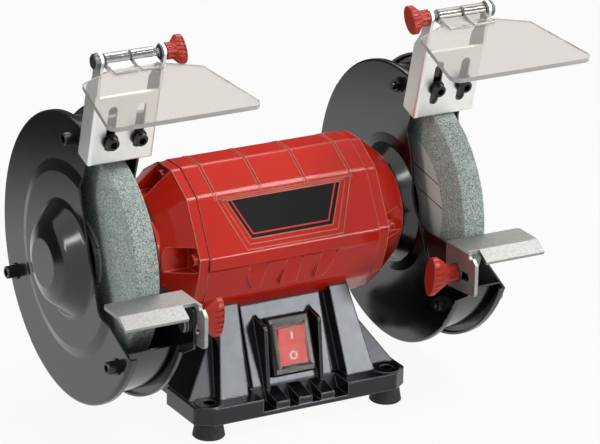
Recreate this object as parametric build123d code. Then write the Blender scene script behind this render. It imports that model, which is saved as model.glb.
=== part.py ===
from build123d import *
import os
from math import cos, sin, tan, radians, sqrt

# Bench grinder with two guarded wheels, in millimetres.
# X runs along the shaft, -Y is the front, Z is up and z = 0 is the underside of the feet.

# Fits
seat_gap = 0.1
slide_gap = 0.25
run_gap = 0.3
bore_gap = 0.05

# Shaft, bearings and motor core
shaft_height = 113.3
shaft_r = 7.5
seat_r = 6.35
thread_r = 5.9
bearing_r = 17.5
bearing_width = 11.0
core_r = 24.0
core_half = 30.0
stator_r = 41.4
stator_slots = 12
winding_r = 33.0
winding_half = 6.0
winding_long = 15.0

# Motor housing and end caps
housing_half = 62.0
housing_front = 50.8
housing_top = 52.4
housing_low = 48.8
plate_tilt = 29.0
facet_r = 46.2
cap_band = 7.0
cap_long = 28.0
cap_end_scale = 0.70
pocket_wide = 16.0
pocket_floor_r = 34.5
tie_r = 45.2
tie_bolt_r = 1.9
tie_angles = (4, 90, 176, 270)
pad_top = -5.2
pad_mid = -15.2
pad_low = -23.4
pad_root = 42.4
pad_section = [(-40, pad_top), (-47.4, pad_top), (-47.3, pad_mid), (-46.0, pad_low), (-40, pad_low)]
pads = (
    (-31.7, -18.1, -33.2, -20.8, -29.0, -22.8),
    (-4.5, 7.5, -7.0, 5.0, -9.1, 3.4),
    (21.3, 33.4, 18.1, 29.1, 16.4, 22.7),
)
line_wide = 1.2
line_deep = 0.7

# Stations along the shaft, counted from the middle of the motor
cap_end_x = housing_half + cap_long
bearing_x = cap_end_x - 8.0
guard_step = 9.3
guard_wide = 38.2
wheel_gap = 11.4
guard_inner_x = cap_end_x + guard_step
guard_outer_x = guard_inner_x + guard_wide
wheel_inner_x = guard_inner_x + wheel_gap
shoulder_x = wheel_inner_x - 7.2
shaft_end_x = wheel_inner_x + 35.3

# Name plate, blank
name_low = -12.4
name_high = 14.2
name_low_half = 29.6
name_high_half = 41.6
name_thick = 0.8
surround_step = 3.4
surround_deep = 0.65

# Base casting
bolt_half_x = 65.5
bolt_half_y = 58.0
bolt_hole_r = 4.25
flange_half_x = 77.7
flange_half_y = 68.5
flange_bottom = 10.5
flange_top = 22.3
lug_inner_y = 22.6
lug_recess = 7.7
column_top = 85.0
panel_lean = 0.394
panel_front = 57.4
corner_front = 49.8
recess_front = 50.0
recess_half = 36.6
groove_wide = 7.4
groove_deep = 3.5
notch_half = 31.2
notch_floor = 13.5
rib_pitch = 16.5
rib_wide = 9.8
fin_x = 19.8
fin_thick = 2.4
plate_thick = 1.5
foot_low_r = 10.6
foot_high_r = 8.9
gland_y = 57.5
gland_z = 36.0
gland_r = 8.0
gland_bore_r = 4.2

# Switch
switch_lean = 21.3
switch_y = -48.0
switch_z = 47.2
bezel_wide = 30.6
bezel_long = 38.5
bezel_high = 6.4
rocker_wide = 19.6
rocker_long = 24.6
rocker_tilt = 7.0
hood_high = 4.4
hood_wall = 1.0
rib_high = 0.5
rib_long = 8.0
rib_step = 4.6

# Wheels
wheel_r = 75.0
wheel_thick = 16.0
label_r = 48.0
label_thick = 0.5
blotter_r = 26.0
clamp_r = 24.0
nut_across = 18.0

# Guards
guard_r = 95.0
band_r = 89.0
sheet = 1.5
lip_inner = 3.7
lip_outer = 5.5
dish_r = 32.0
brow_r = 39.5
brow_deep = 1.2
emboss_r = 46.5
open_high = 71.4
open_low = -23.5
band_high = 66.0
chord_high = (-18.5, 55.0)
chord_low = (-47.0, -20.5)
plateau_out_r = 64.0
plateau_in_r = 57.0
plateau_rise = 2.0
dome_base_r = 37.5
dome_top_r = 20.0
dome_x = guard_outer_x + 17.5
screw_circle_r = 84.0
screw_angles = (85, 205, 325)
screw_r = 2.5
washer_r = 5.4
washer_high = 1.0
head_r = 4.2
head_high = 6.0
head_round = 0.6
mount_circle_r = 26.0

# Spark guard brackets
web_lean = 13.5
web_y = -33.3
web_z = 68.4
left_raise = 5.0
web_inner_x = guard_inner_x - 3.8
web_outer_x = guard_outer_x + 3.0
web_thick = 2.0
web_high = 47.5
side_deep = 15.0
slot_x = (guard_inner_x + 8.7, guard_inner_x + 28.5)
slot_low = 9.4
slot_high = 39.7
slot_wide = 6.4
clamp_high = 22.3
tab_thick = 3.0
rod_high = 73.5
rod_back = 5.2
rod_r = 3.0
ear_r = 5.3

# Eye shields
shield_mid_x = guard_inner_x + 20.2
shield_droop = 8.0
shield_thick = 3.0
shield_drop = 5.5
shield_back = 9.4
shield_shoulder = 20.6
shield_front = 80.0
shield_back_half = 19.8
shield_shoulder_half = 41.4
shield_front_half = 52.6
knuckle_r = 4.4
knuckle_gap = 1.1
knuckle_reach = 17.0

# Tool rests
rest_inner_x = guard_inner_x - 2.8
rest_outer_x = rest_inner_x + 55.0
rest_thick = 2.5
rest_back = -77.0
rest_front = -99.0
rest_top = -0.9
rest_lip_y = -108.6
rest_lip_z = -6.6
rest_lip_x = rest_inner_x + 11.0
ear_front = -112.5
ear_low = -27.5
ear_slot_z = -17.6
ear_slot_back = -81.0
ear_slot_front = -105.2
tab_front = -101.5
tab_low = -31.0
clamp_y = -90.5

# Clamping knobs
knob_hub_r = 5.4
knob_hub_long = 6.5
knob_half_thick = 6.0
knob_flutes = 8
shield_knob_long = 13.0
shield_knob_half = 9.6
rest_knob_long = 19.5
rest_knob_half = 13.8
shield_knob_turn = 35.0
rest_knob_turn = -8.0


def outline(corners):
    """Flat face from (a, b) or (a, b, radius) corners, with true arcs at the rounded ones."""
    full = [(c[0], c[1], c[2] if len(c) > 2 else 0.0) for c in corners]
    count = len(full)
    begins, middles, ends = [], [], []
    for i, (a, b, radius) in enumerate(full):
        here = Vector(a, b)
        if radius == 0.0:
            begins.append(here)
            middles.append(None)
            ends.append(here)
            continue
        back = (Vector(*full[i - 1][:2]) - here).normalized()
        ahead = (Vector(*full[(i + 1) % count][:2]) - here).normalized()
        half = radians(back.get_angle(ahead)) / 2
        reach = radius / tan(half)
        inward = (back + ahead).normalized()
        begins.append(here + back * reach)
        ends.append(here + ahead * reach)
        middles.append(here + inward * (radius / sin(half) - radius))
    edges = []
    for i in range(count):
        if middles[i] is not None:
            edges.append(ThreePointArc(begins[i], middles[i], ends[i]))
        following = begins[(i + 1) % count]
        if (following - ends[i]).length > 1e-4:
            edges.append(Line(ends[i], following))
    return Face(Wire(edges))


def prism(corners, x0, x1):
    """Bar along X whose section is given by (y, z) corners about the origin."""
    return extrude(Plane.YZ.offset(x0) * outline(corners), amount=x1 - x0, dir=(1, 0, 0))


def slab(plane, face, high):
    """Flat face laid on a plane and thickened along its normal."""
    return extrude(plane * face, amount=high, dir=plane.z_dir)


def on_axis(shape):
    """Lift a shape drawn about the origin to the shaft line."""
    return Pos(0, 0, shaft_height) * shape


def spin(corners):
    """Body turned about the shaft line from (x, radius) corners."""
    return on_axis(revolve(outline(corners), Axis.X, 360))


def ring(x0, x1, inner, outer):
    """Plain ring or disc about the shaft line."""
    return spin([(x0, inner), (x1, inner), (x1, outer), (x0, outer)])


def rod_x(x0, x1, radius, y, z):
    """Round bar along X."""
    return Pos((x0 + x1) / 2, y, z) * Rot(0, 90, 0) * Cylinder(radius, x1 - x0)


def hex_x(x0, x1, across, y, z):
    """Hexagon bar along X."""
    section = RegularPolygon(across / sqrt(3), 6)
    return extrude(Plane((x0, y, z), x_dir=(0, 0, 1), z_dir=(1, 0, 0)) * section, amount=x1 - x0)


def box(x0, x1, y0, y1, z0, z1):
    """Box between two corners."""
    return Pos((x0 + x1) / 2, (y0 + y1) / 2, (z0 + z1) / 2) * Box(x1 - x0, y1 - y0, z1 - z0)


def tapered(low, high):
    """Block between two rectangles given as (half_x, y0, y1, z)."""
    faces = []
    for half, y0, y1, z in (low, high):
        points = [(-half, y0, z), (half, y0, z), (half, y1, z), (-half, y1, z)]
        faces.append(Face(Wire.make_polygon(points, close=True)))
    return loft(faces)


def flip(shape):
    """Left-hand twin of a right-hand piece."""
    return mirror(shape, about=Plane.YZ)


def both(pieces):
    """Right-hand pieces and their left-hand twins as one group."""
    return Compound(children=list(pieces) + [flip(p) for p in pieces])


def polar(radius, angle):
    """(y, z) about the shaft line, the angle counted from the front upwards."""
    return -radius * cos(radians(angle)), radius * sin(radians(angle))


def save(node, shape):
    export_step(shape, "parts/" + node + ".step")


# Motor

def motor_section(scale=1.0, crease=True):
    """Rounded many-sided section of the motor, with the inset lower half."""
    nose = radians(plate_tilt)
    facet_low = (facet_r - housing_front * cos(nose)) / sin(nose)
    shoulder_y = 31.0
    shoulder_z = (facet_r - shoulder_y * cos(nose)) / sin(nose)
    half = [(9.0, housing_top, 8), (shoulder_y, shoulder_z, 12), (housing_front, facet_low, 5)]
    if crease:
        half += [(housing_front, -4.0, 0.6), (housing_low, -6.0, 0.6)]
    else:
        half += [(housing_low, -9.0, 8)]
    half += [(41.5, -30.0, 14), (21.0, -housing_low, 14)]
    full = half + [(-y, z, r) for y, z, r in reversed(half)]
    return [(y * scale, z * scale, r * scale) for y, z, r in full]


def name_plane(distance):
    """Plane of the blank name plate at a distance from the shaft line."""
    lean = radians(plate_tilt)
    origin = (0, -distance * cos(lean), shaft_height + distance * sin(lean))
    return Plane(origin, x_dir=(1, 0, 0), z_dir=(0, -cos(lean), sin(lean)))


def name_outline(grow):
    """Trapezium of the name plate, grown at the sides and the foot."""
    low = name_low - grow
    high = name_high + grow * 0.35
    return outline([
        (-name_low_half - grow * 0.8, low, 1.5),
        (name_low_half + grow * 0.8, low, 1.5),
        (name_high_half + grow * 1.15, high, 1.0),
        (-name_high_half - grow * 1.15, high, 1.0),
    ])


def motor_housing():
    body = on_axis(prism(motor_section(), -housing_half, housing_half))
    for pad in pads:
        cut = on_axis(Pos(0, -pad_root, 0) * pad_column(pad))
        body = body - cut + (cut & on_axis(prism(pad_section, -housing_half, housing_half)))
    inset = (housing_top - line_deep) / housing_top
    core = on_axis(prism(motor_section(inset), -housing_half, housing_half))
    for x in (-49.4, -16.4, 16.4, 49.4):
        line = box(x - line_wide / 2, x + line_wide / 2, -60, 60, shaft_height + 40.0, shaft_height + 60)
        body -= line - core
    for level in (2, 1, 0):
        floor = facet_r - surround_deep * (3 - level)
        body -= slab(name_plane(floor), name_outline(surround_step * level), 9)
    body -= slab(name_plane(name_floor()), name_outline(seat_gap), 9)
    body -= ring(-housing_half - 1, housing_half + 1, 0, stator_r + seat_gap)
    for angle in tie_angles:
        y, z = polar(tie_r, angle)
        body -= rod_x(-housing_half - 1, housing_half + 1, tie_bolt_r + 0.2, y, shaft_height + z)
    return body


def pad_column(pad):
    """Upright slanting column in front of the housing, over the outline of one pad."""
    left_top, right_top, left_mid, right_mid, left_low, right_low = pad
    corners = [(left_top, pad_top), (right_top, pad_top), (right_mid, pad_mid), (right_low, pad_low)]
    corners += [(left_low, pad_low), (left_mid, pad_mid)]
    return extrude(Plane.XZ * outline(corners), amount=20, dir=(0, -1, 0))


def name_floor():
    return facet_r - surround_deep * 3 - name_thick


def name_plate():
    return slab(name_plane(name_floor() + seat_gap), name_outline(0), name_thick)


def end_cap():
    start = housing_half + seat_gap
    turn = housing_half + cap_band
    cap = on_axis(prism(motor_section(0.985, False), start, turn))
    wide = Plane.YZ.offset(turn) * outline(motor_section(0.985, False))
    small = Plane.YZ.offset(cap_end_x - 1.5) * outline(motor_section(cap_end_scale, False))
    cap += on_axis(loft([wide, small]))
    cap += ring(cap_end_x - 3.0, cap_end_x, 0, 33.0)
    bearing_face = bearing_x - bearing_width / 2
    hollow = [(start - 1, 0), (start - 1, 40.0), (start + 4.0, 40.0, 3)]
    cap -= spin(hollow + [(bearing_face, 20.0), (bearing_face, 0)])
    cap -= ring(bearing_face - 1, bearing_x + bearing_width / 2, 0, bearing_r + bore_gap)
    cap -= ring(cap_end_x - 10, cap_end_x + 1, 0, 11.0)
    for angle in tie_angles:
        y, z = polar(tie_r, angle)
        cap -= rod_x(start - 1, turn + 20, tie_bolt_r + 0.2, y, shaft_height + z)
        cut = box(turn + 0.5, cap_end_x + 8, -70, -pocket_floor_r, -pocket_wide / 2, pocket_wide / 2)
        cap -= on_axis(Rot(-angle, 0, 0) * cut)
    for i in range(3):
        y, z = polar(mount_circle_r, 90 + 120 * i)
        cap -= rod_x(cap_end_x - 10.0, cap_end_x + 1, 2.1, y, shaft_height + z)
    return cap


def tie_bolts():
    """Long bolts through both caps, a hexagon head on the left and a nut on the right."""
    pieces = []
    reach = housing_half + cap_band + 0.5
    for angle in tie_angles:
        y, z = polar(tie_r, angle)
        z += shaft_height
        bolt = rod_x(-reach - 0.1, reach + 6.0, tie_bolt_r, y, z)
        bolt += hex_x(-reach - 3.3, -reach - seat_gap, 7.0, y, z)
        bolt += rod_x(reach + seat_gap, reach + 0.9, 4.4, y, z)
        bolt += hex_x(reach + 0.9, reach + 4.1, 7.0, y, z)
        pieces.append(bolt)
    return Compound(children=pieces)


def stator_core():
    core = ring(-core_half, core_half, core_r + 0.6, stator_r)
    for i in range(stator_slots):
        slot = box(-core_half - 1, core_half + 1, -core_r - 11.0, -core_r + 1, -1.4, 1.4)
        core -= on_axis(Rot(360 / stator_slots * i, 0, 0) * slot)
    return core


def stator_windings():
    inner = winding_r - winding_half
    outer = winding_r + winding_half
    start = core_half + seat_gap
    end = start + winding_long
    bevel = 3.0
    coil = [(start, inner), (end - bevel, inner), (end, inner + bevel), (end, outer - bevel)]
    return both([spin(coil + [(end - bevel, outer), (start, outer)])])


def bearing_outer():
    x0 = bearing_x - bearing_width / 2
    x1 = bearing_x + bearing_width / 2 - seat_gap
    outer = ring(x0, x1, 15.2, bearing_r)
    return both([outer + ring(x0 + 1, x1 - 1, 10.0 + run_gap, 15.4)])


def bearing_inner():
    x0 = bearing_x - bearing_width / 2
    return both([ring(x0, x0 + bearing_width - seat_gap, shaft_r, 10.0)])


def shaft():
    half = [(0, 9.5), (core_half + 8.0, 9.5), (core_half + 10.0, shaft_r), (shoulder_x, shaft_r)]
    thread_x = wheel_inner_x + wheel_thick + 6.8
    half += [(shoulder_x, seat_r), (thread_x, seat_r), (thread_x, thread_r)]
    half += [(shaft_end_x - 1.0, thread_r), (shaft_end_x, thread_r - 1.0)]
    left = [(-x, r) for x, r in reversed(half[1:])]
    return spin([(-shaft_end_x, 0)] + left + half[1:] + [(shaft_end_x, 0)])


def rotor_core():
    core = ring(-core_half, core_half, 9.5, core_r)
    for s in (1, -1):
        core += ring(min(s * core_half, s * 36.0), max(s * core_half, s * 36.0), 12.0, 22.0)
    return core


# Wheels

def wheel():
    x1 = wheel_inner_x + wheel_thick
    bore = seat_r + bore_gap
    return spin([(wheel_inner_x, bore), (x1, bore), (x1, wheel_r, 0.6), (wheel_inner_x, wheel_r, 0.6)])


def wheel_labels():
    bore = seat_r + bore_gap
    x1 = wheel_inner_x + wheel_thick
    inner = ring(wheel_inner_x - label_thick, wheel_inner_x, bore, label_r)
    return both([inner, ring(x1, x1 + label_thick, bore, blotter_r)])


def wheel_flanges():
    """Dished clamping flanges on either side of each wheel."""
    bore = seat_r + bore_gap
    near = wheel_inner_x - label_thick
    far = wheel_inner_x + wheel_thick + label_thick
    inner = [(shoulder_x + seat_gap, bore), (near - 1.5, bore), (near - 1.5, clamp_r - 6)]
    inner += [(near, clamp_r - 6)]
    inner += [(near, clamp_r), (near - 2.6, clamp_r), (shoulder_x + seat_gap, 13.0)]
    outer = [(far + 5.0, bore), (far + 1.5, bore), (far + 1.5, clamp_r - 6), (far, clamp_r - 6)]
    outer += [(far, clamp_r), (far + 2.6, clamp_r), (far + 5.0, 13.0)]
    return both([spin(inner), spin(outer)])


def wheel_nuts():
    x0 = wheel_inner_x + wheel_thick + label_thick + 5.0 + seat_gap
    nut = hex_x(x0, x0 + 9.0, nut_across, 0, shaft_height)
    return both([nut - ring(x0 - 1, x0 + 10, 0, seat_r + bore_gap)])


# Guards

def opening(high):
    """Working window of a guard, as a bar through the whole width."""
    top_y, top_z = polar(150.0, high)
    low_y, low_z = polar(150.0, open_low)
    corners = [(*chord_high, 5), (top_y, top_z), (-170, top_z), (-170, low_z)]
    corners += [(low_y, low_z), (*chord_low, 5)]
    return on_axis(prism(corners, guard_inner_x - 20, dome_x + 10))


def guard_screw_points():
    return [polar(screw_circle_r, angle) for angle in screw_angles]


def bracket_plane(raised=0.0):
    """Plane of a spark guard web: x along the shaft, y to the back, z up along the web."""
    lean = radians(web_lean)
    origin = (0, web_y - raised * sin(lean), shaft_height + web_z + raised * cos(lean))
    return Plane(origin, x_dir=(1, 0, 0), z_dir=(0, -sin(lean), cos(lean)))


def guard_body():
    """Dished inner plate, rim band, spark guard tab and tool rest tab, welded together."""
    x0 = guard_inner_x
    x1 = x0 + sheet
    dish0 = cap_end_x + seat_gap
    dish1 = dish0 + sheet
    profile = [(dish0, 13.0), (dish0, dish_r, 2), (x0 - brow_deep, brow_r, 2), (x0, emboss_r)]
    profile += [(x0, guard_r, 1.4)]
    profile += [(x0 + lip_inner, guard_r), (x0 + lip_inner, guard_r - sheet), (x1, guard_r - sheet)]
    profile += [(x1, emboss_r - 0.6), (x1 - brow_deep, brow_r - 0.6, 2)]
    profile += [(dish1, dish_r - 0.6, 2), (dish1, 13.0)]
    plate = spin(profile) - opening(open_high)
    tab = [(-44, -4.6), (tab_front, -4.6, 3), (tab_front, tab_low, 3), (-86.0, -40.0), (-60, -40.0)]
    plate += on_axis(prism(tab, x0, x1))
    band = ring(x0 + 0.5, guard_outer_x - sheet - seat_gap, band_r - sheet, band_r) - opening(band_high)
    back = web_thick + slide_gap
    ear = bracket_plane() * box(x0 + 2.0, guard_outer_x - 2.0, back, back + tab_thick, 9.0, 36.0)
    for x in slot_x:
        ear -= bracket_plane() * Pos(x, back, clamp_high) * Rot(90, 0, 0) * Cylinder(screw_r + 0.1, 20)
    body = plate + band + ear
    for y, z in guard_screw_points():
        body -= rod_x(x0 - 1, x1 + 1, screw_r + 0.2, y, shaft_height + z)
    body -= rod_x(x0 - 1, x1 + 1, rod_r + 0.1, clamp_y, shaft_height + ear_slot_z)
    for i in range(3):
        y, z = polar(mount_circle_r, 90 + 120 * i)
        body -= rod_x(dish0 - 1, dish1 + 1, 2.3, y, shaft_height + z)
    return body


def guard_cover():
    """Pressed outer cover with a raised ring, a dome over the nut and a turned rim."""
    x1 = guard_outer_x
    x2 = x1 + plateau_rise
    outer = [(x1 - lip_outer, guard_r), (x1, guard_r, 2.4), (x1, plateau_out_r, 3), (x2, plateau_in_r, 3)]
    outer += [(x2, dome_base_r, 5), (dome_x - 3.5, dome_top_r + 6.5, 9)]
    outer += [(dome_x, dome_top_r - 4, 4), (dome_x, 0)]
    inner = [(dome_x - sheet, 0), (dome_x - sheet, dome_top_r - 4.4, 3)]
    inner += [(dome_x - 5.0, dome_top_r + 5.4, 8)]
    inner += [(x2 - sheet, dome_base_r - 0.8, 6), (x2 - sheet, plateau_in_r - 0.5, 3)]
    inner += [(x1 - sheet, plateau_out_r - 0.5, 3), (x1 - sheet, guard_r - sheet, 1.0)]
    inner += [(x1 - lip_outer, guard_r - sheet)]
    cover = spin(outer + inner) - opening(open_high)
    for y, z in guard_screw_points():
        cover -= rod_x(x1 - 5, x1 + 5, screw_r + 0.2, y, shaft_height + z)
    return cover


def guard_spacers():
    """Tubes that hold each cover off its inner plate."""
    x0 = guard_inner_x + sheet + seat_gap
    x1 = guard_outer_x - sheet - seat_gap
    pieces = []
    for y, z in guard_screw_points():
        tube = rod_x(x0, x1, 3.1, y, shaft_height + z)
        pieces.append(tube - rod_x(x0 - 1, x1 + 1, screw_r + 0.1, y, shaft_height + z))
    return both(pieces)


def socket_screw(head_r, head_long, shank_r, shank_long):
    """Socket head screw, head up from z = 0 and shank down."""
    screw = Pos(0, 0, head_long / 2) * Cylinder(head_r, head_long)
    screw = chamfer(screw.edges().group_by(Axis.Z)[-1], head_round)
    screw -= Pos(0, 0, head_long * 0.45) * extrude(RegularPolygon(head_r * 0.62, 6), amount=head_long)
    return screw + Pos(0, 0, -shank_long / 2) * Cylinder(shank_r, shank_long)


def cover_screws():
    """Socket screws with washers, from the cover through to the nuts."""
    x1 = guard_outer_x + seat_gap
    pieces = []
    for y, z in guard_screw_points():
        screw = socket_screw(head_r, head_high, screw_r, guard_wide + washer_high + 6.5)
        screw += Pos(0, 0, -washer_high / 2) * Cylinder(washer_r, washer_high)
        spot = Plane((x1 + washer_high, y, shaft_height + z), x_dir=(0, 1, 0), z_dir=(1, 0, 0))
        pieces.append(spot * screw)
    return both(pieces)


def cover_nuts():
    x1 = guard_inner_x - seat_gap
    pieces = []
    for y, z in guard_screw_points():
        nut = hex_x(x1 - 4.0, x1, 8.0, y, shaft_height + z)
        nut += rod_x(x1 - 0.8, x1, 5.2, y, shaft_height + z)
        pieces.append(nut - rod_x(x1 - 9, x1 + 1, screw_r + bore_gap, y, shaft_height + z))
    return both(pieces)


def guard_mount_screws():
    """Pan head screws that hold each inner plate on its end cap."""
    x0 = cap_end_x + seat_gap + sheet + seat_gap
    pieces = []
    for i in range(3):
        y, z = polar(mount_circle_r, 90 + 120 * i)
        screw = rod_x(x0, x0 + 2.4, 4.0, y, shaft_height + z)
        pieces.append(screw + rod_x(cap_end_x - 8.0, x0 + 1, 2.0, y, shaft_height + z))
    return both(pieces)


def spark_screws():
    """Socket screws that clamp the spark guard brackets through their slots."""
    pieces = []
    for x in slot_x:
        screw = socket_screw(head_r, head_high, screw_r, web_thick + slide_gap + tab_thick + 4.0)
        screw += Pos(0, 0, washer_high / 2) * Cylinder(washer_r, washer_high)
        spot = bracket_plane() * Pos(x, -slide_gap, clamp_high) * Rot(90, 0, 0)
        pieces.append(spot * screw)
    return both(pieces)


# Spark guards and eye shields

def bracket(raised):
    """Bent sheet channel: slotted web, two side flanges and the hinge ears above them."""
    x0, x1, t = web_inner_x, web_outer_x, web_thick
    channel = [
        (x0, side_deep + 1), (x0, 0, t + 0.6), (x1, 0, t + 0.6), (x1, side_deep + 1),
        (x1 - t, side_deep + 1), (x1 - t, t, 0.6), (x0 + t, t, 0.6), (x0 + t, side_deep + 1),
    ]
    neck = rod_high - 14.0
    side = [
        (0, 0, 1.2), (side_deep, 1.5, 1.5), (side_deep, neck - 11.0, 4), (rod_back + 4.2, neck, 6),
        (rod_back + ear_r, rod_high - 3, 3), (rod_back + ear_r, rod_high + ear_r, ear_r - 0.5),
        (rod_back - ear_r, rod_high + ear_r, ear_r - 0.5), (rod_back - ear_r, rod_high - 3, 3),
        (rod_back - 4.2, neck, 6), (0, neck - 11.0, 1.2),
    ]
    body = slab(Plane.XY, outline(channel), rod_high + 20) & prism(side, x0, x1)
    for x in (x0, x1 - t):
        body += prism(side, x, x + t) & box(x, x + t, -20, 20, neck - 11.0, rod_high + 20)
    body -= box(x0 + t, x1 - t, -1, t + 1, web_high, rod_high + 20)
    for x in slot_x:
        slot = SlotOverall(slot_high - slot_low, slot_wide)
        cut = extrude(Plane.XZ * slot, amount=10, both=True)
        body -= Pos(x, 0, (slot_low + slot_high) / 2) * Rot(0, 90, 0) * cut
    body -= rod_x(x0 - 5, x1 + 5, rod_r + bore_gap, rod_back, rod_high)
    return bracket_plane(raised) * body


def hinge_bolt(raised):
    """Hinge bolt with a low round head, and its washers at the two ears."""
    head = web_outer_x + seat_gap
    bolt = rod_x(web_inner_x - 11.0, head + 1, rod_r, rod_back, rod_high)
    bolt += chamfer(rod_x(head, head + 3.2, 5.2, rod_back, rod_high).edges().group_by(Axis.X)[-1], 0.8)
    bore = rod_x(web_inner_x - 15, web_outer_x + 10, rod_r + bore_gap, rod_back, rod_high)
    washers = []
    for x in (web_inner_x - 0.8, web_inner_x + web_thick + seat_gap, web_outer_x - web_thick - 1.0):
        washers.append(rod_x(x, x + 0.7, ear_r - 0.6, rod_back, rod_high) - bore)
    return bracket_plane(raised) * Compound(children=[bolt] + washers)


def shield_plane(raised):
    """Frame of an eye shield on its rod: x along the shaft, y forward along the plate."""
    at = bracket_plane(raised).from_local_coords(Vector(0, rod_back, rod_high))
    lean = radians(shield_droop)
    return Plane(at, x_dir=(-1, 0, 0), z_dir=(0, -sin(lean), cos(lean)))


def shield(raised):
    """Clear plate that widens to the front, hung on two hinge knuckles."""
    mid = -shield_mid_x
    half = [
        (shield_back_half, shield_back, 1.5), (shield_shoulder_half, shield_shoulder, 3),
        (shield_front_half, shield_front, 6),
    ]
    corners = [(mid + a, f, r) for a, f, r in half] + [(mid - a, f, r) for a, f, r in reversed(half)]
    plate = slab(Plane.XY.offset(-shield_drop), outline(corners), shield_thick)
    top = shield_thick - shield_drop
    arm = [
        (0, -knuckle_r + 0.4), (knuckle_r - 0.5, 0.8), (11.0, top + 1.8, 1), (16.5, top + 1.8, 0.8),
        (16.5, top - 0.5), (shield_back + 0.5, -shield_drop + 0.4),
    ]
    for a, b in ((-knuckle_reach, -knuckle_gap), (knuckle_gap, knuckle_reach)):
        plate += rod_x(mid + a, mid + b, knuckle_r, 0, 0)
        plate += prism(arm, mid + a + 0.3, mid + b - 0.3)
    plate -= rod_x(mid - 40, mid + 40, rod_r + bore_gap, 0, 0)
    return shield_plane(raised) * plate


def knob(knob_long, knob_half):
    """Moulded wing knob: fluted hub, flared oval wing with ridged sides, blind bore."""
    body = Pos(0, 0, knob_hub_long / 2) * Cylinder(knob_hub_r, knob_hub_long)
    for i in range(knob_flutes):
        a = radians(360 / knob_flutes * i)
        spot = Pos(knob_hub_r * 1.06 * cos(a), knob_hub_r * 1.06 * sin(a), knob_hub_long / 2 + 0.8)
        body -= spot * Cylinder(1.0, knob_hub_long)
    start = knob_hub_long - 1.5
    wide = knob_long - 4.2
    flare = loft([
        Pos(0, 0, start) * Ellipse(knob_hub_r, knob_hub_r - 0.4),
        Pos(0, 0, wide) * Ellipse(knob_half, knob_half_thick),
    ])
    wing = Pos(0, 0, wide) * extrude(Ellipse(knob_half, knob_half_thick), amount=knob_long - wide)
    wing = fillet(wing.edges().group_by(Axis.Z)[-1], 1.0)
    body += flare + wing
    for i in range(-2, 3):
        along = i * knob_half * 0.28
        thick = knob_half_thick * sqrt(1 - (along / knob_half) ** 2)
        for s in (1, -1):
            body -= Pos(along, s * (thick + 0.1), knob_long - 4.0) * Box(1.7, 1.6, 6.0)
    return body - Pos(0, 0, 4.0) * Cylinder(rod_r + bore_gap, 15.0)


def shield_knob(raised):
    at = bracket_plane(raised).from_local_coords(Vector(web_inner_x - 0.9, rod_back, rod_high))
    turn = radians(shield_knob_turn)
    frame = Plane(at, x_dir=(0, sin(turn), cos(turn)), z_dir=(-1, 0, 0))
    return frame * knob(shield_knob_long, shield_knob_half)


# Tool rests

def tool_rest():
    """Bent sheet rest: flat table, sloping front lip and a slotted ear on the motor side."""
    top = rest_top
    table = [(rest_inner_x, rest_back, 2), (rest_outer_x, rest_back, 3), (rest_outer_x, rest_front)]
    table += [(rest_inner_x, rest_front)]
    body = slab(Plane.XY.offset(top - rest_thick), outline(table), rest_thick)
    t = rest_thick
    lip = [
        (rest_front + 3, top), (rest_front, top, 1.5),
        (rest_lip_y, rest_lip_z), (rest_lip_y + 1.0, rest_lip_z - t + 0.4),
        (rest_front + 0.8, top - t, 1.0), (rest_front + 3, top - t),
    ]
    body += prism(lip, rest_lip_x, rest_outer_x)
    ear = [
        (rest_back, top), (ear_front + 6, top), (ear_front, top - 5.0, 2), (ear_front, ear_low, 2.5),
        (rest_back - 2, ear_low - 3.0, 2.5), (rest_back, top - 12, 2),
    ]
    body += prism(ear, rest_inner_x, rest_inner_x + t)
    body -= rod_x(rest_inner_x - 1, rest_lip_x, 2.1, ear_front + 6.2, top - 1.0)
    slot_long = ear_slot_back - ear_slot_front
    slot_mid = (ear_slot_back + ear_slot_front) / 2
    slot = extrude(Plane.YZ * SlotOverall(slot_long, slot_wide), amount=20, both=True)
    body -= Pos(rest_inner_x, slot_mid, ear_slot_z) * slot
    return on_axis(body)


def rest_bolts():
    """Round head bolts through the guard tab and the ear, with a washer under each knob."""
    z = shaft_height + ear_slot_z
    head0 = guard_inner_x + sheet + seat_gap
    bolt = rod_x(rest_inner_x - 11.0, head0 + 1, rod_r, clamp_y, z)
    bolt += chamfer(rod_x(head0, head0 + 3.0, 5.5, clamp_y, z).edges().group_by(Axis.X)[-1], 1.0)
    face = rest_inner_x - seat_gap
    washer = rod_x(face - 0.7, face, 6.2, clamp_y, z)
    washer -= rod_x(face - 2, face + 1, rod_r + bore_gap, clamp_y, z)
    return both([bolt, washer])


def rest_knob():
    turn = radians(rest_knob_turn)
    at = (rest_inner_x - 0.9 - seat_gap, clamp_y, shaft_height + ear_slot_z)
    frame = Plane(at, x_dir=(0, sin(turn), cos(turn)), z_dir=(-1, 0, 0))
    return frame * knob(rest_knob_long, rest_knob_half)


# Base

def base_flange():
    """Flange with four lugs and cut corners."""
    x, y = flange_half_x, flange_half_y
    quarter = [
        (x - lug_recess, lug_inner_y - 4.6, 1), (x, lug_inner_y, 1.5), (x, y - 7.5, 3), (x - 10.5, y, 3),
    ]
    right = [(a, -b, r) for a, b, r in reversed(quarter)] + quarter
    left = [(-a, -b, r) for a, b, r in right]
    body = slab(Plane.XY.offset(flange_bottom), outline(right + left), flange_top - flange_bottom)
    return fillet(body.edges().group_by(Axis.Z)[-1], 0.8)


def bolt_points():
    return [(sx * bolt_half_x, sy * bolt_half_y) for sx in (1, -1) for sy in (1, -1)]


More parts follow.
